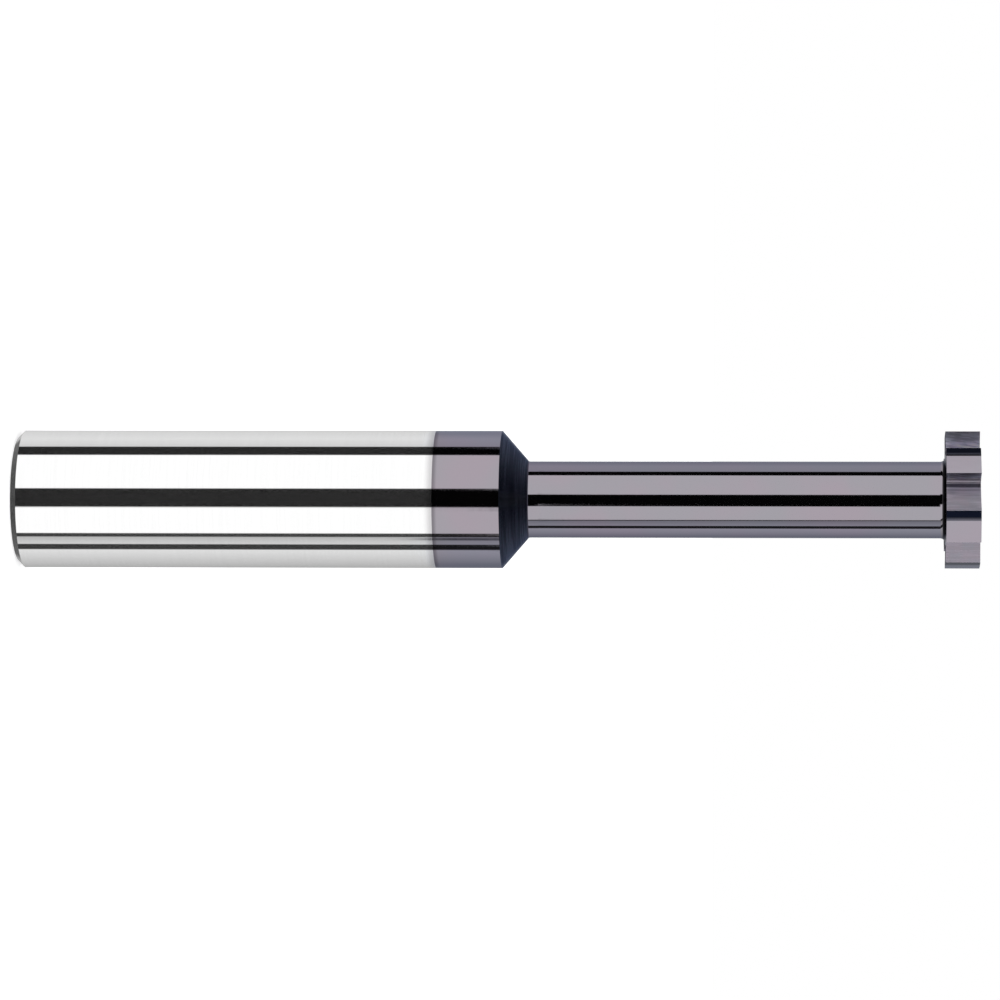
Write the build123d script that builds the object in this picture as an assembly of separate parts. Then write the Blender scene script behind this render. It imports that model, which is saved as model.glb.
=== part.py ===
from build123d import *
from math import asin, degrees, radians, tan
import os

# A shank-type cutter for woodruff keyseats, ground all over from one rod of carbide.
# Lengths are in millimetres and angles in degrees. The tool stands on its shank end:
# the origin is the centre of that face, and +Z runs up the axis to the toothed head.

# Shank, the plain cylinder that a collet grips
shank_diameter = 12.7
shank_length = 45.0  # from the end face to the foot of the shoulder
end_chamfer = 0.57  # at 45 degrees, round the end face

# Shoulder and neck, the slim reach behind the head
reach = 43.9  # from the foot of the shoulder to the front of the head
shoulder_slope = 49.0  # between the shoulder's cone and the axis
neck_diameter = 7.05
shoulder_blend = 0.2  # radius where the cone runs into the neck
head_blend = 0.5  # radius where the neck runs into the back of the head

# Head, a disc as wide as the key's slot
head_diameter = 12.7
head_width = 3.175
side_hollow = 1.0  # both sides are hollow ground by this angle, so that only the rim rubs

# Teeth, straight and all alike, cutting when the tool turns from +X towards +Y
tooth_count = 6
first_edge = -112.4  # direction of one cutting edge, turning from +X towards +Y
rake = 1.0  # how far each tooth's front face leans back under its edge
gullet_clearance = 0.425  # how far the gullets stay outside the round behind the head
gullet_radius = 0.3  # round the gullet's corner
first_land = 2.1  # width of the flat behind the edge
first_relief = 15.5  # slope of that flat below the edge's tangent
second_land = 0.95  # width of the narrower flat behind it
second_relief = 25.0
back_hollow = 24.0  # radius of the shallow hollow from the second land to the gullet

# Sizes that follow from these
shank_radius = shank_diameter / 2
neck_radius = neck_diameter / 2
head_radius = head_diameter / 2
overall_length = shank_length + reach
shoulder_top = shank_length + (shank_radius - neck_radius) / tan(radians(shoulder_slope))
hollow_rise = tan(radians(side_hollow))
neck_top = overall_length - head_width + (head_radius - neck_radius) * hollow_rise
tooth_pitch = 360 / tooth_count
gullet_depth = head_radius - neck_radius - head_blend - gullet_clearance  # along the front face


def turned_blank():
    """The whole tool as it comes off the cylindrical grinder, before its teeth are cut."""
    half_section = make_face(
        Polyline(
            (0, 0),
            (shank_radius - end_chamfer, 0),
            (shank_radius, end_chamfer),
            (shank_radius, shank_length),
            (neck_radius, shoulder_top),
            (neck_radius, neck_top),
            (head_radius, overall_length - head_width),
            (head_radius, overall_length),
            (0, overall_length - head_radius * hollow_rise),
            close=True,
        )
    )
    for blend_height, blend in ((shoulder_top, shoulder_blend), (neck_top, head_blend)):
        corner = half_section.vertices().sort_by_distance((neck_radius, blend_height))[0]
        half_section = fillet(corner, blend)
    return revolve(Plane.XZ * half_section, Axis.Z)


def gap_section():
    """What the wheel takes out between two teeth, drawn with the leading edge on +Y.

    The tool cuts towards -X there, so the lands fall away and the next tooth follows on +X.
    """
    edge = Vector(0, head_radius)
    land_end = edge + Vector(first_land, 0).rotate(Axis.Z, -first_relief)
    heel = land_end + Vector(second_land, 0).rotate(Axis.Z, -second_relief)
    next_edge = edge.rotate(Axis.Z, -tooth_pitch)
    front_face = Vector(0, -gullet_depth).rotate(Axis.Z, rake - tooth_pitch)
    corner = next_edge + front_face
    outside = Vector(0, head_diameter)
    outline = (
        Polyline(corner, next_edge, outside.rotate(Axis.Z, -tooth_pitch), outside, edge, land_end, heel)
        + RadiusArc(heel, corner, -back_hollow)
    )
    section = make_face(outline)

    # The gullet's round, which has to leave some of the front face flat under the edge
    hollow_bend = degrees(asin((corner - heel).length / 2 / back_hollow))
    gullet_turn = 180 - front_face.get_angle(corner - heel) - hollow_bend
    least_flat = gullet_depth / 10
    widest_round = (gullet_depth - least_flat) / tan(radians(gullet_turn / 2))
    gullet_corner = section.vertices().sort_by_distance(corner)[0]
    return fillet(gullet_corner, min(gullet_radius, widest_round))


def keyseat_cutter():
    """The finished tool: the blank, less one gap behind each cutting edge."""
    overrun = head_width / 2  # how far each gap runs past both sides of the head
    gap = extrude(gap_section(), amount=head_width + 2 * overrun)
    gap = Pos(0, 0, overall_length - head_width - overrun) * gap
    gaps = PolarLocations(0, tooth_count, start_angle=first_edge - 90) * gap
    return turned_blank() - gaps


os.makedirs("parts", exist_ok=True)
export_step(keyseat_cutter(), "parts/keyseat_cutter.step")
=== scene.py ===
from math import cos, pi, radians, sin, sqrt, tan

import bmesh
import bpy
from mathutils import Matrix, Vector


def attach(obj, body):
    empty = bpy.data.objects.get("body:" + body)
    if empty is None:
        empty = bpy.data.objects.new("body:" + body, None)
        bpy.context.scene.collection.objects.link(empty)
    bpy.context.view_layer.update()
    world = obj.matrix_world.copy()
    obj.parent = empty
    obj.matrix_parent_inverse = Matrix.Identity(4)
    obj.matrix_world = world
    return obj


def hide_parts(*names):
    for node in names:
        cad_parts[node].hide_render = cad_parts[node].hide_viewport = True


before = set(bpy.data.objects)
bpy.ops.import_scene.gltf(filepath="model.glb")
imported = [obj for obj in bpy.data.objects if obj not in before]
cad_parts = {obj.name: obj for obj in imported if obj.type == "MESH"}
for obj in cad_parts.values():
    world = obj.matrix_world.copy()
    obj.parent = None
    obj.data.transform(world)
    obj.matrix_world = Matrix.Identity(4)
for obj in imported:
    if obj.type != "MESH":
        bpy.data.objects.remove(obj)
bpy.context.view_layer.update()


# SHANK, SHOULDER AND NECK
# One rod of fine-grained tungsten carbide, ground between centres on a cylindrical grinder. The rear of
# the shank stays bare and bright for the collet. From just behind the shoulder forward, a hard nitride
# film a few thousandths of a millimetre thick turns the same ground surface purple-grey.
shank_radius = 6.35e-3
shank_length = 45.0e-3
end_chamfer = 0.57e-3
film_start = 38.87e-3
shoulder_slope = radians(49.0)
neck_radius = 3.525e-3
shoulder_blend = 0.2e-3
head_blend = 0.5e-3
overall_length = 88.9e-3
head_radius = 6.35e-3
head_width = 3.175e-3
side_hollow = tan(radians(1.0))
bore_radius = 4.2e-3  # the ring where the turned body and the toothed head meet

shoulder_top = shank_length + (shank_radius - neck_radius) / tan(shoulder_slope)
head_back = overall_length - head_width
neck_top = head_back + (head_radius - neck_radius) * side_hollow
bore_height = head_back + (head_radius - bore_radius) * side_hollow

# The finishes, as numbered on the faces
BARE, FILMED, CONE, LAND, HEEL, GULLET, FRONT, SIDE = range(8)


def feed(tree, socket, value):
    """Gives a socket a plain value, or links the output that feeds it."""
    if isinstance(value, bpy.types.NodeSocket):
        tree.links.new(value, socket)
    else:
        socket.default_value = value


def node(tree, kind, inputs=(), **settings):
    """One node in a tree, with its settings and what feeds its inputs."""
    made = tree.nodes.new(kind)
    for name, value in settings.items():
        setattr(made, name, value)
    for key, value in dict(inputs).items():
        feed(tree, made.inputs[key], value)
    return made


def calc(tree, operation, *values):
    return node(tree, "ShaderNodeMath", enumerate(values), operation=operation).outputs[0]


def combine(tree, x=0.0, y=0.0, z=0.0):
    return node(tree, "ShaderNodeCombineXYZ", {0: x, 1: y, 2: z}).outputs[0]


def grey(tree, level):
    return combine(tree, level, level, level)


def ramp_between(tree, value, low, high, at_low=0.0, at_high=1.0, smooth=True):
    """A value that goes from at_low to at_high as another goes from low to high."""
    inputs = {"Value": value, "From Min": low, "From Max": high, "To Min": at_low, "To Max": at_high}
    kind = "SMOOTHSTEP" if smooth else "LINEAR"
    return node(tree, "ShaderNodeMapRange", inputs, interpolation_type=kind).outputs["Result"]


def blended(tree, share, first, second, kind="Color", mode="MIX"):
    """A colour or a vector, with a share of the second one in the first or multiplied into it."""
    data_type = {"Color": "RGBA", "Vector": "VECTOR"}[kind]
    made = node(tree, "ShaderNodeMix", data_type=data_type, blend_type=mode)
    sockets = {socket.identifier: socket for socket in made.inputs}
    for identifier, value in (("Factor_Float", share), ("A_" + kind, first), ("B_" + kind, second)):
        feed(tree, sockets[identifier], value)
    return next(socket for socket in made.outputs if socket.identifier == "Result_" + kind)


def new_group(name, tree_kind, inputs, outputs):
    """An empty node group with its named sockets, and the sockets of its two end nodes."""
    group = bpy.data.node_groups.new(name, tree_kind)
    for socket_name, kind, value in inputs:
        made = group.interface.new_socket(socket_name, in_out="INPUT", socket_type="NodeSocket" + kind)
        if value is not None:
            made.default_value = value
    for socket_name, kind in outputs:
        group.interface.new_socket(socket_name, in_out="OUTPUT", socket_type="NodeSocket" + kind)
    return group, group.nodes.new("NodeGroupInput").outputs, group.nodes.new("NodeGroupOutput").inputs


# The wheel leaves fine parallel scratches: a few clear ones among many faint ones. The vector comes in
# stretched, so that it runs fast across the scratches and slowly along them.
wheel_marks, given, result = new_group(
    "Wheel Marks", "ShaderNodeTree",
    inputs=[("Vector", "Vector", None), ("Clear Share", "Float", 0.35)],
    outputs=[("Height", "Float"), ("Shade", "Float")],
)
clear_pace = 0.31  # how fast the clear scratches change, next to the faint ones
faint = node(wheel_marks, "ShaderNodeTexNoise", {
    "Vector": given["Vector"], "Scale": 1.0, "Detail": 3.0, "Roughness": 0.6}).outputs[0]
slower = node(wheel_marks, "ShaderNodeVectorMath", {
    0: given["Vector"], 1: (clear_pace, clear_pace, clear_pace)}, operation="MULTIPLY").outputs[0]
clear = node(wheel_marks, "ShaderNodeTexNoise", {"Vector": slower, "Scale": 1.0, "Detail": 1.0}).outputs[0]
clear_lines = ramp_between(wheel_marks, clear, 0.38, 0.62)
faint_share = calc(wheel_marks, "SUBTRACT", 1.0, given["Clear Share"])
scratches = calc(
    wheel_marks, "ADD",
    calc(wheel_marks, "MULTIPLY", clear_lines, given["Clear Share"]),
    calc(wheel_marks, "MULTIPLY", faint, faint_share))
feed(wheel_marks, result["Height"], scratches)
feed(wheel_marks, result["Shade"], ramp_between(wheel_marks, scratches, 0.3, 0.7, smooth=False))

# The film's colour wanders a little between a warmer and a cooler grey, as its thickness does.
film_colour, given, result = new_group(
    "Nitride Film", "ShaderNodeTree",
    inputs=[
        ("Vector", "Vector", None), ("Patch Scale", "Float", 160.0),
        ("Warm", "Color", (0.346, 0.302, 0.345, 1)), ("Cool", "Color", (0.324, 0.310, 0.343, 1)),
    ],
    outputs=[("Color", "Color")],
)
patches = node(film_colour, "ShaderNodeTexNoise", {
    "Vector": given["Vector"], "Scale": given["Patch Scale"], "Detail": 2.0, "Roughness": 0.5}).outputs[0]
warm_share = ramp_between(film_colour, patches, 0.35, 0.65)
feed(film_colour, result["Color"], blended(film_colour, warm_share, given["Cool"], given["Warm"]))


def film(tree, place, **values):
    """The film's colour at a place on the tool."""
    inputs = {key.replace("_", " "): value for key, value in values.items()}
    return node(tree, "ShaderNodeGroup", {"Vector": place, **inputs}, node_tree=film_colour).outputs["Color"]


def scaled_place(x, y, z):
    """Scratches laid along the tool's own axes. The larger a number, the finer they are that way."""
    return lambda tree, place: node(
        tree, "ShaderNodeVectorMath", {0: place, 1: (x, y, z)}, operation="MULTIPLY").outputs[0]


def ground_metal(name, lay, clear_share, depth, roughness, spread, **shader):
    """A metal surface with the marks of the wheel in it, and its tree, its place and the marks' shade.

    The lay is a function that turns a place on the tool into the vector for the wheel's marks.
    """
    material = bpy.data.materials.new(name)
    material.use_nodes = True
    tree = material.node_tree
    principled = tree.nodes["Principled BSDF"]
    for key, value in shader.items():
        principled.inputs[key.replace("_", " ")].default_value = value
    place = node(tree, "ShaderNodeTexCoord").outputs["Object"]
    marks = node(tree, "ShaderNodeGroup", {
        "Vector": lay(tree, place), "Clear Share": clear_share}, node_tree=wheel_marks).outputs
    bump = node(tree, "ShaderNodeBump", {"Strength": 1.0, "Distance": depth, "Height": marks["Height"]})
    feed(tree, principled.inputs["Normal"], bump.outputs[0])
    feed(tree, principled.inputs["Roughness"], ramp_between(
        tree, marks["Shade"], 0.0, 1.0, roughness - spread, roughness + spread, smooth=False))
    return material, tree, place, marks["Shade"]


def colour_metal(tree, colour):
    feed(tree, tree.nodes["Principled BSDF"].inputs["Base Color"], colour)


# Bare carbide: nearly a mirror, with rings too fine to count. Next to the film it is dulled by overspray.
overspray_width = 0.85e-3
bare_carbide, tree, place, shade = ground_metal(
    "bare_ground_carbide", scaled_place(300.0, 300.0, 26000.0), clear_share=0.2, depth=1.2e-7,
    roughness=0.045, spread=0.012, Metallic=0.97)
height = node(tree, "ShaderNodeSeparateXYZ", {0: place}).outputs["Z"]
overspray = ramp_between(tree, height, film_start - overspray_width, film_start)
polished = blended(tree, shade, (0.885, 0.885, 0.885, 1), (0.915, 0.915, 0.915, 1))
colour_metal(tree, blended(tree, overspray, polished, (0.60, 0.59, 0.60, 1)))

# Filmed carbide, on the front of the shank and along the neck: the same fine rings under the film. It is
# darker in a hairline where the film starts, and painted shade makes another dark hairline round the foot of
# the head.
filmed_carbide, tree, place, _ = ground_metal(
    "filmed_ground_carbide", scaled_place(300.0, 300.0, 22000.0), clear_share=0.2, depth=1.2e-7,
    roughness=0.05, spread=0.012, Metallic=1.0, Specular_Tint=(0.55, 0.57, 0.62, 1))
height = node(tree, "ShaderNodeSeparateXYZ", {0: place}).outputs["Z"]
past_film_edge = (film_start + 0.1e-3, film_start + 0.5e-3)
painted_shade_before_head = (head_back - 0.32e-3, head_back - 0.18e-3)
edge_line_and_painted_shade = calc(
    tree, "MULTIPLY",
    ramp_between(tree, height, *past_film_edge, at_low=0.62, at_high=1.0),
    ramp_between(tree, height, *painted_shade_before_head, at_low=1.0, at_high=0.12))
colour_metal(tree, blended(tree, 1.0, film(tree, place), grey(tree, edge_line_and_painted_shade), mode="MULTIPLY"))

# The shoulder's cone, ground by the wheel's corner: coarser rings, and duller for it.
ground_cone, tree, place, shade = ground_metal(
    "ring_ground_cone", scaled_place(500.0, 500.0, 34000.0), clear_share=0.5, depth=0.6e-6,
    roughness=0.19, spread=0.04, Metallic=1.0, Specular_Tint=(0.5, 0.53, 0.62, 1))
cone_film = film(tree, place, Warm=(0.25, 0.26, 0.335, 1), Cool=(0.21, 0.258, 0.315, 1), Patch_Scale=3200.0)
cone_rings = grey(tree, ramp_between(tree, shade, 0.0, 1.0, at_low=0.8, at_high=1.2))
colour_metal(tree, blended(tree, 1.0, cone_film, cone_rings, mode="MULTIPLY"))

# Half of the tool's lengthwise section, from the middle of the end face out and up to the head. Each
# point has the finish of the face above it, and the radius that rounds it. Two points on the neck stand
# a little way from its rounds, so that the long faces between them shade as a straight cylinder.
off_rounds = 1e-3
half_section = [
    ((0, 0), BARE, 0),
    ((shank_radius - end_chamfer, 0), BARE, 0),
    ((shank_radius, end_chamfer), BARE, 0),
    ((shank_radius, film_start), FILMED, 0),
    ((shank_radius, shank_length), CONE, 0),
    ((neck_radius, shoulder_top), FILMED, shoulder_blend),
    ((neck_radius, shoulder_top + off_rounds), FILMED, 0),
    ((neck_radius, neck_top - off_rounds), FILMED, 0),
    ((neck_radius, neck_top), FILMED, head_blend),
    ((bore_radius, bore_height), FILMED, 0),
]


def outline_mesh(name, points, **attributes):
    """A chain of edges through the points, with a value of each attribute on every point."""
    mesh = bpy.data.meshes.new(name)
    mesh.from_pydata(points, [(step, step + 1) for step in range(len(points) - 1)], [])
    for attribute_name, values in attributes.items():
        kind = "INT" if all(isinstance(value, int) for value in values) else "FLOAT"
        mesh.attributes.new(attribute_name, kind, "POINT").data.foreach_set("value", values)
    return mesh


section_mesh = outline_mesh(
    "half_section", [(x, 0, z) for (x, z), _, _ in half_section],
    finish=[finish for _, finish, _ in half_section],
    blend=[float(blend) for _, _, blend in half_section])

# The tree rounds the section's corners and lays a grid over it, a column for each side of the tool. Every
# grid point then goes to its own point of the section, swung round the axis to its column's direction.
turned, given, result = new_group(
    "Turned Form", "GeometryNodeTree",
    inputs=[
        ("Half Section", "Geometry", None), ("Sides", "Int", 288), ("First Direction", "Float", 0.0),
        ("Blend Steps", "Int", 8), ("Sharp Above", "Float", 0.2), ("Bare Finish", "Material", None),
        ("Film Finish", "Material", None), ("Cone Finish", "Material", None),
    ],
    outputs=[("Geometry", "Geometry")],
)
weld_distance = 2e-6


def attribute(tree, name, kind):
    return node(tree, "GeometryNodeInputNamedAttribute", {"Name": name}, data_type=kind).outputs[0]


def sample(tree, source, value, index, kind):
    """What a value is on one point of the source."""
    inputs = {"Geometry": source, "Value": value, "Index": index}
    return node(tree, "GeometryNodeSampleIndex", inputs, data_type=kind, domain="POINT").outputs[0]


def store(tree, geometry, name, value, kind, domain):
    inputs = {"Geometry": geometry, "Name": name, "Value": value}
    return node(tree, "GeometryNodeStoreNamedAttribute", inputs, data_type=kind, domain=domain).outputs[0]


def grid_place(tree, index, rows):
    """The column of a grid's point or face, and its row in that column, from its number."""
    column = calc(tree, "FLOOR", calc(tree, "DIVIDE", calc(tree, "ADD", index, 0.5), rows))
    return column, calc(tree, "SUBTRACT", index, calc(tree, "MULTIPLY", column, rows))


def shade_smooth(tree, geometry, smooth, domain):
    inputs = {"Geometry": geometry, "Shade Smooth": smooth}
    return node(tree, "GeometryNodeSetShadeSmooth", inputs, domain=domain).outputs[0]


def finished(tree, geometry, sharp_above, finishes):
    """Ends a tree: seams welded, sharp bends creased, and a material for each numbered finish."""
    geometry = node(tree, "GeometryNodeMergeByDistance", {
        "Geometry": geometry, "Distance": weld_distance}).outputs[0]
    bend = node(tree, "GeometryNodeInputMeshEdgeAngle").outputs["Unsigned Angle"]
    gentle = node(tree, "FunctionNodeCompare", {0: bend, 1: sharp_above},
                  data_type="FLOAT", operation="LESS_THAN").outputs[0]
    geometry = shade_smooth(tree, shade_smooth(tree, geometry, True, "FACE"), gentle, "EDGE")
    geometry = node(tree, "GeometryNodeRealizeInstances", {"Geometry": geometry}).outputs[0]
    numbers = attribute(tree, "finish", "INT")
    for number, material in finishes.items():
        chosen = node(tree, "FunctionNodeCompare", {2: numbers, 3: number},
                      data_type="INT", operation="EQUAL").outputs[0]
        geometry = node(tree, "GeometryNodeSetMaterial", {
            "Geometry": geometry, "Selection": chosen, "Material": material}).outputs[0]
    return geometry


section_curve = node(turned, "GeometryNodeMeshToCurve", {"Mesh": given["Half Section"]}).outputs[0]
profile = node(turned, "GeometryNodeFilletCurve", {
    "Curve": section_curve, "Count": given["Blend Steps"], "Radius": attribute(turned, "blend", "FLOAT"),
}, mode="POLY").outputs[0]
profile_size = node(turned, "GeometryNodeAttributeDomainSize", {"Geometry": profile}, component="CURVE")
rows = profile_size.outputs["Point Count"]
web = node(turned, "GeometryNodeMeshGrid", {
    "Vertices X": calc(turned, "ADD", given["Sides"], 1), "Vertices Y": rows}).outputs["Mesh"]
index = node(turned, "GeometryNodeInputIndex").outputs[0]
position = node(turned, "GeometryNodeInputPosition").outputs[0]
column, row = grid_place(turned, index, rows)
swing = calc(turned, "DIVIDE", calc(turned, "MULTIPLY", column, 2 * pi), given["Sides"])
swung = node(turned, "ShaderNodeVectorRotate", {
    "Vector": sample(turned, profile, position, row, "FLOAT_VECTOR"),
    "Angle": calc(turned, "SUBTRACT", given["First Direction"], swing),
}, rotation_type="Z_AXIS").outputs[0]
body = node(turned, "GeometryNodeSetPosition", {"Geometry": web, "Position": swung}).outputs[0]
_, face_row = grid_place(turned, index, calc(turned, "SUBTRACT", rows, 1))
face_finish = sample(turned, profile, attribute(turned, "finish", "INT"), face_row, "INT")
body = store(turned, body, "finish", face_finish, "INT", "FACE")
feed(turned, result["Geometry"], finished(turned, body, given["Sharp Above"], {
    BARE: given["Bare Finish"], FILMED: given["Film Finish"], CONE: given["Cone Finish"]}))


def formed(name, outline, tree, sizes):
    """The plain mesh that a tree makes of an outline, with its inputs set to the sizes given."""
    holder = bpy.data.objects.new(name, outline)
    bpy.context.scene.collection.objects.link(holder)
    modifier = holder.modifiers.new(name, "NODES")
    modifier.node_group = tree
    for socket in tree.interface.items_tree:
        if socket.in_out == "INPUT" and socket.name in sizes:
            modifier[socket.identifier] = sizes[socket.name]
    depsgraph = bpy.context.evaluated_depsgraph_get()
    mesh = bpy.data.meshes.new_from_object(holder.evaluated_get(depsgraph), depsgraph=depsgraph)
    bpy.data.objects.remove(holder)
    return mesh


# CUTTING HEAD
# The same rod's front end, a disc as wide as the key's slot. A profiled wheel cuts six gaps across its
# rim, then each tooth gets two flat lands behind its edge, the first one finely ground and the second
# one more coarsely, made dark with painted shade. Both sides are ground slightly hollow. The film covers it
# all.
tooth_count = 6
first_edge = radians(-112.4)
rake = radians(1.0)
gullet_depth = 1.9e-3
gullet_radius = 0.3e-3
first_land = 2.1e-3
first_relief = radians(15.5)
second_land = 0.95e-3
second_relief = radians(25.0)
back_hollow = 24.0e-3
tooth_pitch = 2 * pi / tooth_count


def turned_by(vector, angle):
    return Matrix.Rotation(angle, 2) @ vector


def run(start, end, steps):
    """Points along a straight run, without the last one."""
    return [start.lerp(end, step / steps) for step in range(steps)]


def arc(centre, start, end, steps):
    """Points along the shorter arc round a centre, without the last one."""
    first, last = start - centre, end - centre
    sweep = -first.angle_signed(last)
    return [centre + turned_by(first, sweep * step / steps) for step in range(steps)]


# One tooth's outline from its edge back to the next edge, with the edge on +Y at first
edge = Vector((0, head_radius))
land_end = edge + turned_by(Vector((first_land, 0)), -first_relief)
heel = land_end + turned_by(Vector((second_land, 0)), -second_relief)
next_edge = turned_by(edge, -tooth_pitch)
inward = turned_by(Vector((0, -1)), rake - tooth_pitch)
corner = next_edge + inward * gullet_depth

# The hollow back's centre lies outside the tool. The gullet's round touches the hollow and the front
# face, so its centre is the two radii's difference away from the hollow's centre.
chord = corner - heel
outward = Vector((-chord.y, chord.x)).normalized()
hollow_centre = (heel + corner) / 2 + outward * sqrt(back_hollow ** 2 - chord.length_squared / 4)
away = turned_by(inward, -pi / 2)
reach_back = next_edge + away * gullet_radius - hollow_centre
along = reach_back.dot(inward)
half_span = sqrt(along ** 2 - reach_back.length_squared + (back_hollow - gullet_radius) ** 2)
flat_left = -along - half_span
if not 0 < flat_left < gullet_depth:
    flat_left = -along + half_span
round_end = next_edge + inward * flat_left
round_centre = round_end + away * gullet_radius
round_start = hollow_centre + (round_centre - hollow_centre) * back_hollow / (back_hollow - gullet_radius)

land_steps, heel_steps, hollow_steps, round_steps, front_steps = 16, 6, 12, 10, 4
tooth_parts = [
    (run(edge, land_end, land_steps), LAND),
    (run(land_end, heel, heel_steps), HEEL),
    (arc(hollow_centre, heel, round_start, hollow_steps), GULLET),
    (arc(round_centre, round_start, round_end, round_steps), GULLET),
    (run(round_end, next_edge, front_steps), FRONT),
    ([next_edge], LAND),
]
tooth_points = [(turned_by(point, first_edge - pi / 2), finish)
                for points, finish in tooth_parts for point in points]
tooth_steps = len(tooth_points) - 1

# How much painted shade each step carries: the heel more and more away from the first land, and then a dark
# line along the foot of the hollow, which fades over the gullet's round.
burn = [0.0] * len(tooth_points)
for step in range(heel_steps + 1):
    burn[land_steps + step] = step / heel_steps
foot_shade_line = [2.6, 1.8, 1.45, 1.3]
round_shade = 1.25
foot = land_steps + heel_steps + hollow_steps
burn[foot - 1:foot + round_steps] = foot_shade_line + [round_shade] * (round_steps + 1 - len(foot_shade_line))
tooth_mesh = outline_mesh(
    "tooth_outline", [(point.x, point.y, 0) for point, _ in tooth_points],
    finish=[finish for _, finish in tooth_points], burn=burn)

# First lands: as smooth as the neck, with a trace of the wheel along the tool
land_film = {"Warm": (0.340, 0.303, 0.348, 1), "Cool": (0.322, 0.308, 0.346, 1)}
fine_land, tree, place, _ = ground_metal(
    "finely_ground_land", scaled_place(9000.0, 9000.0, 500.0), clear_share=0.3, depth=2.5e-7,
    roughness=0.06, spread=0.015, Metallic=1.0, Specular_Tint=(0.6, 0.62, 0.66, 1))
colour_metal(tree, film(tree, place, **land_film))


def painted_shade_level(tree):
    return node(tree, "ShaderNodeAttribute", attribute_name="burn").outputs["Fac"]


# Second lands, ground by the coarser wheel that takes the heel away. Their dark colour is painted shade.
heel_land, tree, place, _ = ground_metal(
    "painted_shade_heel_land", scaled_place(9000.0, 9000.0, 400.0), clear_share=0.4, depth=1.5e-6,
    roughness=0.2, spread=0.04, Metallic=1.0)
wholly_dark = 0.42  # the painted shade from which on the heel is at its darkest
# The heel's film is painted shade, and near-black where the painted shade is deepest
shaded_heel_film = film(tree, place, Warm=(0.14, 0.134, 0.16, 1), Cool=(0.12, 0.12, 0.15, 1))
painted_shade_share = ramp_between(tree, painted_shade_level(tree), 0.0, wholly_dark)
colour_metal(tree, blended(tree, painted_shade_share, shaded_heel_film, (0.006, 0.008, 0.018, 1)))

# Gullets: cut in one deep pass, so dull and streaked along the tool, with a dark line of painted shade at the
# hollow's foot
gullet_ground, tree, place, shade = ground_metal(
    "deep_ground_gullet", scaled_place(15000.0, 15000.0, 700.0), clear_share=0.5, depth=2.0e-6,
    roughness=0.42, spread=0.06, Metallic=1.0, Specular_Tint=(0.6, 0.62, 0.68, 1))
gullet_film = film(tree, place, Warm=(0.455, 0.405, 0.465, 1), Cool=(0.42, 0.40, 0.455, 1), Patch_Scale=900.0)
streaks_and_shade = grey(tree, ramp_between(tree, shade, 0.0, 1.0, at_low=0.82, at_high=1.16))
streaked = blended(tree, 1.0, gullet_film, streaks_and_shade, mode="MULTIPLY")
foot_shade_levels = (1.2, 1.9)  # between these the painted shade's dark line sets in
painted_shade_share = ramp_between(tree, painted_shade_level(tree), *foot_shade_levels, at_low=0.0, at_high=0.8)
colour_metal(tree, blended(tree, painted_shade_share, streaked, (0.03, 0.03, 0.045, 1)))


def round_axis(tree, place):
    """A place's distance from the tool's axis, and its own X, Y and Z."""
    apart = node(tree, "ShaderNodeSeparateXYZ", {0: place}).outputs
    flat = combine(tree, apart["X"], apart["Y"])
    return node(tree, "ShaderNodeVectorMath", {0: flat}, operation="LENGTH").outputs["Value"], apart


def slanting(tree, place):
    """Scratches that slant across the front faces, as the side of the wheel leaves them."""
    slant, across_scale, along_scale, deep_scale = radians(-9), 16000.0, 2000.0, 400.0
    from_axis, apart = round_axis(tree, place)
    across = calc(tree, "SUBTRACT", calc(tree, "MULTIPLY", from_axis, cos(slant)),
                  calc(tree, "MULTIPLY", apart["Z"], sin(slant)))
    along = calc(tree, "ADD", calc(tree, "MULTIPLY", from_axis, sin(slant)),
                 calc(tree, "MULTIPLY", apart["Z"], cos(slant)))
    return combine(
        tree, calc(tree, "MULTIPLY", across, across_scale), calc(tree, "MULTIPLY", along, along_scale),
        calc(tree, "MULTIPLY", apart["X"], deep_scale))


def ringed(tree, place):
    """Scratches round the tool's axis, as the cup wheel leaves them on the head's sides."""
    across_scale, along_scale = 9000.0, 300.0
    from_axis, apart = round_axis(tree, place)
    return combine(
        tree, calc(tree, "MULTIPLY", from_axis, across_scale),
        calc(tree, "MULTIPLY", apart["X"], along_scale), calc(tree, "MULTIPLY", apart["Y"], along_scale))


# Front faces: slanting scratches, dull patches, and painted light: lighter than the film, darker towards the
# cutting edge
front_face, tree, place, shade = ground_metal(
    "slant_ground_front", slanting, clear_share=0.5, depth=3.0e-6,
    roughness=0.45, spread=0.05, Metallic=1.0, Specular_Tint=(0.05, 0.05, 0.06, 1))
lit_front_film = film(tree, place, Warm=(0.55, 0.53, 0.63, 1), Cool=(0.49, 0.50, 0.585, 1), Patch_Scale=1500.0)
painted_shading_span = (4.9e-3, 6.3e-3)  # distances from the axis
from_axis, _ = round_axis(tree, place)
# The scratches' shade, times painted light at the foot of the face and painted shade towards the cutting edge
streaks_and_shade = calc(
    tree, "MULTIPLY",
    ramp_between(tree, shade, 0.0, 1.0, at_low=0.8, at_high=1.2),
    ramp_between(tree, from_axis, *painted_shading_span, at_low=1.65, at_high=0.42, smooth=False))
colour_metal(tree, blended(tree, 1.0, lit_front_film, grey(tree, streaks_and_shade), mode="MULTIPLY"))

# Sides: rings from the cup wheel
hollow_side, tree, place, _ = ground_metal(
    "ring_ground_side", ringed, clear_share=0.4, depth=1.5e-6,
    roughness=0.5, spread=0.06, Metallic=1.0, Specular_Tint=(0.6, 0.62, 0.68, 1))
colour_metal(tree, film(tree, place, **land_film))

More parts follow.
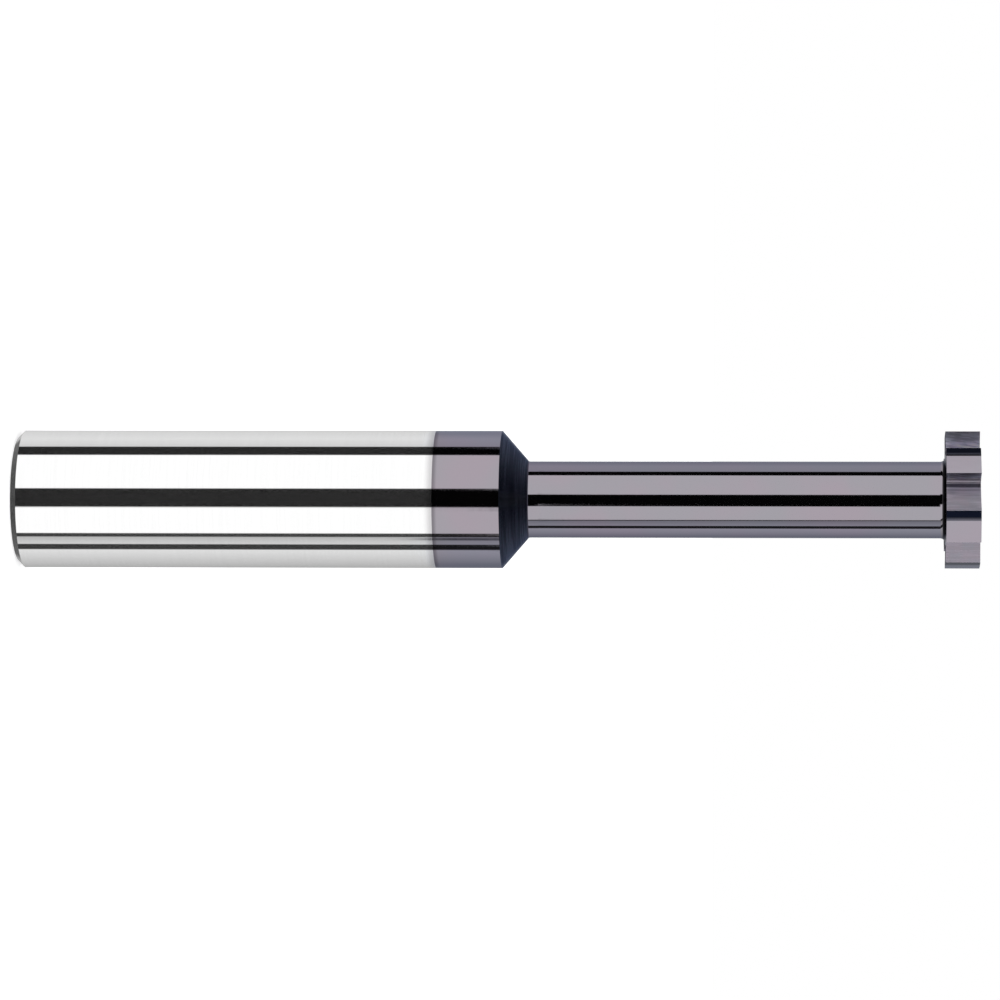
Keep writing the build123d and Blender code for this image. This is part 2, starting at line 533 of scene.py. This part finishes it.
# The tree lays a grid over one tooth, with a column for each point of its outline. A column goes from the
# ring where the turned body ends, out over the back side to the rim, across the rim, and in over the
# front side to the axis. The tooth is then repeated round the axis and welded to the turned body.
disc, given, result = new_group(
    "Toothed Disc", "GeometryNodeTree",
    inputs=[
        ("Tooth Outline", "Geometry", None), ("Turned Body", "Object", None), ("Teeth", "Int", 6),
        ("First Edge", "Float", 0.0), ("Head Radius", "Float", 0.006), ("Width", "Float", 0.003),
        ("Front Height", "Float", 0.09), ("Bore Radius", "Float", 0.004), ("Side Hollow", "Float", 0.02),
        ("Sharp Above", "Float", 0.2), ("Land Finish", "Material", None), ("Heel Finish", "Material", None),
        ("Gullet Finish", "Material", None), ("Front Finish", "Material", None),
        ("Side Finish", "Material", None),
    ],
    outputs=[("Geometry", "Geometry")],
)
RING_BEHIND, RIM_BEHIND, RIM_IN_FRONT, RING_IN_FRONT, ON_AXIS = range(5)  # a column's points
point_rows = ON_AXIS + 1
face_rows = point_rows - 1  # a face has the number of the point that it starts from

outline = given["Tooth Outline"]
pitch = calc(disc, "DIVIDE", 2 * pi, given["Teeth"])
outline_size = node(disc, "GeometryNodeAttributeDomainSize", {"Geometry": outline}, component="MESH")
points = outline_size.outputs["Point Count"]
web = node(disc, "GeometryNodeMeshGrid", {"Vertices X": points, "Vertices Y": point_rows}).outputs["Mesh"]
index = node(disc, "GeometryNodeInputIndex").outputs[0]
position = node(disc, "GeometryNodeInputPosition").outputs[0]
column, row = grid_place(disc, index, point_rows)

# Where each point lies, seen along the tool: on the rim, on the ring or on the axis
rim = sample(disc, outline, position, column, "FLOAT_VECTOR")
share_of_pitch = calc(disc, "DIVIDE", column, calc(disc, "SUBTRACT", points, 1))
ring_angle = calc(disc, "SUBTRACT", given["First Edge"], calc(disc, "MULTIPLY", pitch, share_of_pitch))
off_centre = calc(disc, "MULTIPLY", given["Bore Radius"], calc(disc, "LESS_THAN", row, ON_AXIS - 0.5))
ring = combine(disc, calc(disc, "MULTIPLY", off_centre, calc(disc, "COSINE", ring_angle)),
               calc(disc, "MULTIPLY", off_centre, calc(disc, "SINE", ring_angle)))
mid_rim = (RIM_BEHIND + RIM_IN_FRONT) / 2
on_rim = calc(disc, "LESS_THAN", calc(disc, "ABSOLUTE", calc(disc, "SUBTRACT", row, mid_rim)), 1.0)
flat_place = blended(disc, on_rim, ring, rim, kind="Vector")

# How far each point lies below the highest part of the front, on sides that are dished towards the axis
from_axis = node(disc, "ShaderNodeVectorMath", {0: flat_place}, operation="LENGTH").outputs["Value"]
dish = calc(disc, "MULTIPLY", calc(disc, "SUBTRACT", given["Head Radius"], from_axis), given["Side Hollow"])
in_front = calc(disc, "GREATER_THAN", row, mid_rim)
behind = calc(disc, "SUBTRACT", 1, in_front)
drop = calc(disc, "ADD",
            calc(disc, "MULTIPLY", behind, calc(disc, "SUBTRACT", given["Width"], dish)),
            calc(disc, "MULTIPLY", in_front, dish))
lifted = combine(disc, z=calc(disc, "SUBTRACT", given["Front Height"], drop))
placed = node(disc, "ShaderNodeVectorMath", {0: flat_place, 1: lifted}, operation="ADD").outputs[0]
tooth = node(disc, "GeometryNodeSetPosition", {"Geometry": web, "Position": placed}).outputs[0]

# The outline's finishes go to the faces across the rim, and all the others are sides
face_column, face_row = grid_place(disc, index, face_rows)
on_wall = calc(disc, "COMPARE", face_row, RIM_BEHIND, 0.5)
wall_finish = sample(disc, outline, attribute(disc, "finish", "INT"), face_column, "INT")
face_finish = calc(disc, "ADD",
                   calc(disc, "MULTIPLY", on_wall, wall_finish),
                   calc(disc, "MULTIPLY", calc(disc, "SUBTRACT", 1, on_wall), SIDE))
# Each point carries its step's painted shade
point_shade = sample(disc, outline, attribute(disc, "burn", "FLOAT"), column, "FLOAT")
tooth = store(disc, tooth, "burn", point_shade, "FLOAT", "POINT")
tooth = store(disc, tooth, "finish", face_finish, "INT", "FACE")

places = node(disc, "GeometryNodePoints", {"Count": given["Teeth"]}).outputs[0]
teeth = node(disc, "GeometryNodeInstanceOnPoints", {
    "Points": places, "Instance": tooth,
    "Rotation": combine(disc, z=calc(disc, "MULTIPLY", index, pitch))}).outputs[0]
head = node(disc, "GeometryNodeRealizeInstances", {"Geometry": teeth}).outputs[0]
body = node(disc, "GeometryNodeObjectInfo", {"Object": given["Turned Body"]}).outputs["Geometry"]
both = node(disc, "GeometryNodeJoinGeometry")
for piece in (body, head):
    feed(disc, both.inputs[0], piece)
feed(disc, result["Geometry"], finished(disc, both.outputs[0], given["Sharp Above"], {
    LAND: given["Land Finish"], HEEL: given["Heel Finish"], GULLET: given["Gullet Finish"],
    FRONT: given["Front Finish"], SIDE: given["Side Finish"]}))

# The turned body has as many sides as the teeth have steps, so that the two meet point to point
crease_angle = radians(12)
turned_body = bpy.data.objects.new("turned_body", formed("turned_blank", section_mesh, turned, {
    "Sides": tooth_count * tooth_steps, "First Direction": first_edge, "Blend Steps": 8,
    "Sharp Above": crease_angle, "Bare Finish": bare_carbide, "Film Finish": filmed_carbide,
    "Cone Finish": ground_cone}))
bpy.context.scene.collection.objects.link(turned_body)
cutter_mesh = formed("toothed_head", tooth_mesh, disc, {
    "Turned Body": turned_body, "Teeth": tooth_count, "First Edge": first_edge, "Head Radius": head_radius,
    "Width": head_width, "Front Height": overall_length, "Bore Radius": bore_radius,
    "Side Hollow": side_hollow, "Sharp Above": crease_angle, "Land Finish": fine_land,
    "Heel Finish": heel_land, "Gullet Finish": gullet_ground, "Front Finish": front_face,
    "Side Finish": hollow_side})
bpy.data.objects.remove(turned_body)

closing = bmesh.new()
closing.from_mesh(cutter_mesh)
bmesh.ops.remove_doubles(closing, verts=closing.verts, dist=1e-7)
bmesh.ops.recalc_face_normals(closing, faces=closing.faces)
closing.to_mesh(cutter_mesh)
closing.free()
cutter = bpy.data.objects.new("ground_cutter", cutter_mesh)
bpy.context.scene.collection.objects.link(cutter)
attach(cutter, "root")
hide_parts("keyseat_cutter")


# FLOOR
# A plain pale sheet that the tool stands on. It reads as the white background, keeps the tool's
# shadow, and lets the metal see past it to the studio's panels.
floor_reach = 3.0
floor_mesh = bpy.data.meshes.new("floor")
floor_mesh.from_pydata([
    (-floor_reach, -floor_reach, 0), (floor_reach, -floor_reach, 0),
    (floor_reach, floor_reach, 0), (-floor_reach, floor_reach, 0)], [], [(0, 1, 2, 3)])
floor = bpy.data.objects.new("floor", floor_mesh)
bpy.context.scene.collection.objects.link(floor)
floor_paint = bpy.data.materials.new("pale_floor")
floor_paint.use_nodes = True
tree = floor_paint.node_tree
principled = tree.nodes["Principled BSDF"]
principled.inputs["Base Color"].default_value = (0.86, 0.86, 0.86, 1)
principled.inputs["Roughness"].default_value = 0.9
principled.inputs["Specular IOR Level"].default_value = 0.1
background_glow = 0.5


def kinds_of_ray(tree):
    """What tells the rays that metal mirrors, and the rays that show the background."""
    rays = node(tree, "ShaderNodeLightPath").outputs
    return rays["Is Glossy Ray"], calc(tree, "MAXIMUM", rays["Is Camera Ray"], rays["Is Transmission Ray"])


mirrored, background = kinds_of_ray(tree)
glow = node(tree, "ShaderNodeEmission", {
    "Color": (1, 1, 1, 1), "Strength": calc(tree, "MULTIPLY", background, background_glow)})
lit = node(tree, "ShaderNodeAddShader", {0: principled.outputs[0], 1: glow.outputs[0]})
see_through = node(tree, "ShaderNodeBsdfTransparent")
sheet = node(tree, "ShaderNodeMixShader", {0: mirrored, 1: lit.outputs[0], 2: see_through.outputs[0]})
feed(tree, tree.nodes["Material Output"].inputs["Surface"], sheet.outputs[0])
floor.data.materials.append(floor_paint)


# STUDIO LIGHT
# Plain even light from all round. The metal mirrors what stands about it: two rows of white panels with
# dark gaps, hung one above the other, in a dim grey room. The shank mirrors the lower row, and the neck
# and the head mirror the upper one.
panel, gap = 1.12, 0.003

# Each part of a row runs between two angles round the tool, in degrees from the side that faces the
# camera towards -X, and has one level at its start and one at its end.
lower_row = [
    (-180.0, -160.0, 0.34, 0.44), (-160.0, -125.0, 0.44, 0.62), (-125.0, -94.3, 0.62, 0.82),
    (-94.3, -82.8, 0.025, 0.025), (-82.8, -66.8, 0.70, 0.50), (-66.8, -60.0, 0.036, 0.036),
    (-60.0, -14.0, panel, panel), (-14.0, 17.3, gap, gap), (17.3, 78.9, panel, panel),
    (78.9, 98.7, gap, gap), (98.7, 122.0, 0.68, 0.80), (122.0, 165.0, 0.80, 0.66),
    (165.0, 180.0, 0.60, 0.34),
]
upper_row = [
    (-180.0, -160.0, 0.34, 0.44), (-160.0, -125.0, 0.44, 0.62), (-125.0, -97.4, 0.62, 0.76),
    (-97.4, -86.3, 0.03, 0.03), (-86.3, -67.2, 0.66, 0.45), (-67.2, -63.6, 0.045, 0.045),
    (-63.6, -20.8, panel, panel), (-20.8, 14.5, gap, gap), (14.5, 78.0, panel, panel),
    (78.0, 94.0, gap, gap), (94.0, 122.0, 0.62, 0.68), (122.0, 165.0, 0.68, 0.56),
    (165.0, 180.0, 0.52, 0.34),
]
soft_edge = 0.12  # how far from each angle the level starts to change, in degrees
world = bpy.data.worlds.new("studio")
bpy.context.scene.world = world
world.use_nodes = True
tree = world.node_tree
tree.nodes.clear()


def panel_row(tree, round_tool, row):
    """The levels of one row of panels, as seen from the tool."""
    ramp = node(tree, "ShaderNodeValToRGB", {"Fac": calc(tree, "MULTIPLY_ADD", round_tool, 0.5 / pi, 0.5)})
    stops = []
    for start, end, level_in, level_out in row:
        stops.append(((start + soft_edge + 180) / 360, level_in))
        stops.append(((end - soft_edge + 180) / 360, level_out))
    for place_on_ramp, _ in stops[1:-1]:
        ramp.color_ramp.elements.new(place_on_ramp)
    for made, (place_on_ramp, level) in zip(ramp.color_ramp.elements, stops):
        made.position = place_on_ramp
        made.color = (level, level, level, 1)
    return ramp.outputs[0]


# A direction's turn round the tool is in degrees, and how far it points up goes from -1 to 1
looking = node(tree, "ShaderNodeTexCoord").outputs["Generated"]
direction = node(tree, "ShaderNodeSeparateXYZ", {0: looking}).outputs
round_tool = calc(tree, "ARCTAN2", calc(tree, "MULTIPLY", direction["X"], -1.0),
                  calc(tree, "MULTIPLY", direction["Y"], -1.0))
turn = calc(tree, "MULTIPLY", round_tool, 180 / pi)
up = direction["Z"]

# One gap has a dark bar beside it that hangs from above, so that it shows only towards the head
bar_start, bar_end, bar_foot = (-73.4, -73.1), (-68.3, -68.6), (-0.084, -0.079)
bar = calc(tree, "MULTIPLY", ramp_between(tree, turn, *bar_start), ramp_between(tree, turn, *bar_end))
bar = calc(tree, "MULTIPLY", bar, ramp_between(tree, up, *bar_foot))
barred = blended(tree, bar, panel_row(tree, round_tool, lower_row), (0.15, 0.15, 0.16, 1))
rows_meet = (-0.0635, -0.0600)
panels = blended(tree, ramp_between(tree, up, *rows_meet), barred, panel_row(tree, round_tool, upper_row))

# Past the white panels the room is a little bluer, from just below the upper row
middle, panel_ends, bluer_from = 8.0, (72.0, 74.0), (-0.0795, -0.0765)
from_middle = calc(tree, "ABSOLUTE", calc(tree, "SUBTRACT", turn, middle))
bluer = calc(tree, "MULTIPLY", ramp_between(tree, from_middle, *panel_ends),
             ramp_between(tree, up, *bluer_from))
panels = blended(tree, bluer, panels, (0.96, 1.0, 1.1, 1), mode="MULTIPLY")

# Overhead the light is dim and bluish and fades to nothing, and below the panels it is a dull grey
overhead_from, underneath_from, share_of_panels = (0.10, 0.24), (-0.36, -0.54), 0.55
overhead = ramp_between(tree, up, 0.1, 1.0, at_low=0.25, at_high=0.002, smooth=False)
overhead_blue = combine(tree, overhead, calc(tree, "MULTIPLY", overhead, 1.05),
                        calc(tree, "MULTIPLY_ADD", overhead, 1.25, 0.008))
studio_colour = blended(tree, ramp_between(tree, up, *overhead_from), panels, overhead_blue)
underneath = grey(tree, ramp_between(tree, up, -0.60, -0.95, at_low=0.18, at_high=0.085, smooth=False))
dim_panels = blended(tree, share_of_panels, underneath, panels, mode="MULTIPLY")
studio_colour = blended(tree, ramp_between(tree, up, *underneath_from), studio_colour, dim_panels)

studio = node(tree, "ShaderNodeBackground", {"Color": studio_colour, "Strength": 1.0})
even = node(tree, "ShaderNodeBackground", {"Color": (0.92, 0.92, 0.92, 1), "Strength": 1.0})
white = node(tree, "ShaderNodeBackground", {"Color": (1, 1, 1, 1), "Strength": 1.0})
mirrored, background = kinds_of_ray(tree)
lighting = node(tree, "ShaderNodeMixShader", {0: mirrored, 1: even.outputs[0], 2: studio.outputs[0]})
shown = node(tree, "ShaderNodeMixShader", {0: background, 1: lighting.outputs[0], 2: white.outputs[0]})
node(tree, "ShaderNodeOutputWorld", {"Surface": shown.outputs[0]})


# CAMERA
# A long lens level with the neck, turned a little towards the shank end, and laid on its side so that
# the tool lies across the picture with its head to the right.
camera_place = Vector((3.0e-3, -0.450, 74.0e-3))
pan, tilt, roll = radians(3.72), radians(0.3749), radians(0.1)
picture_right = Vector((0, sin(pan), cos(pan)))
picture_up = Vector((-1, 0, 0))
ahead = Vector((0, cos(pan), -sin(pan)))
tilted_ahead = ahead * cos(tilt) + picture_up * sin(tilt)
tilted_up = picture_up * cos(tilt) - ahead * sin(tilt)
rolled_right = picture_right * cos(roll) + tilted_up * sin(roll)
rolled_up = tilted_up * cos(roll) - picture_right * sin(roll)
facing = Matrix((rolled_right, rolled_up, -tilted_ahead)).transposed().to_4x4()
lens = bpy.data.cameras.new("camera")
lens.sensor_width = 36.0
lens.lens = 175.6
lens.clip_start = 0.01
lens.clip_end = 20.0
camera = bpy.data.objects.new("camera", lens)
camera.matrix_world = Matrix.Translation(camera_place) @ facing
bpy.context.scene.collection.objects.link(camera)
bpy.context.scene.camera = camera
bpy.context.scene.view_settings.view_transform = "Standard"
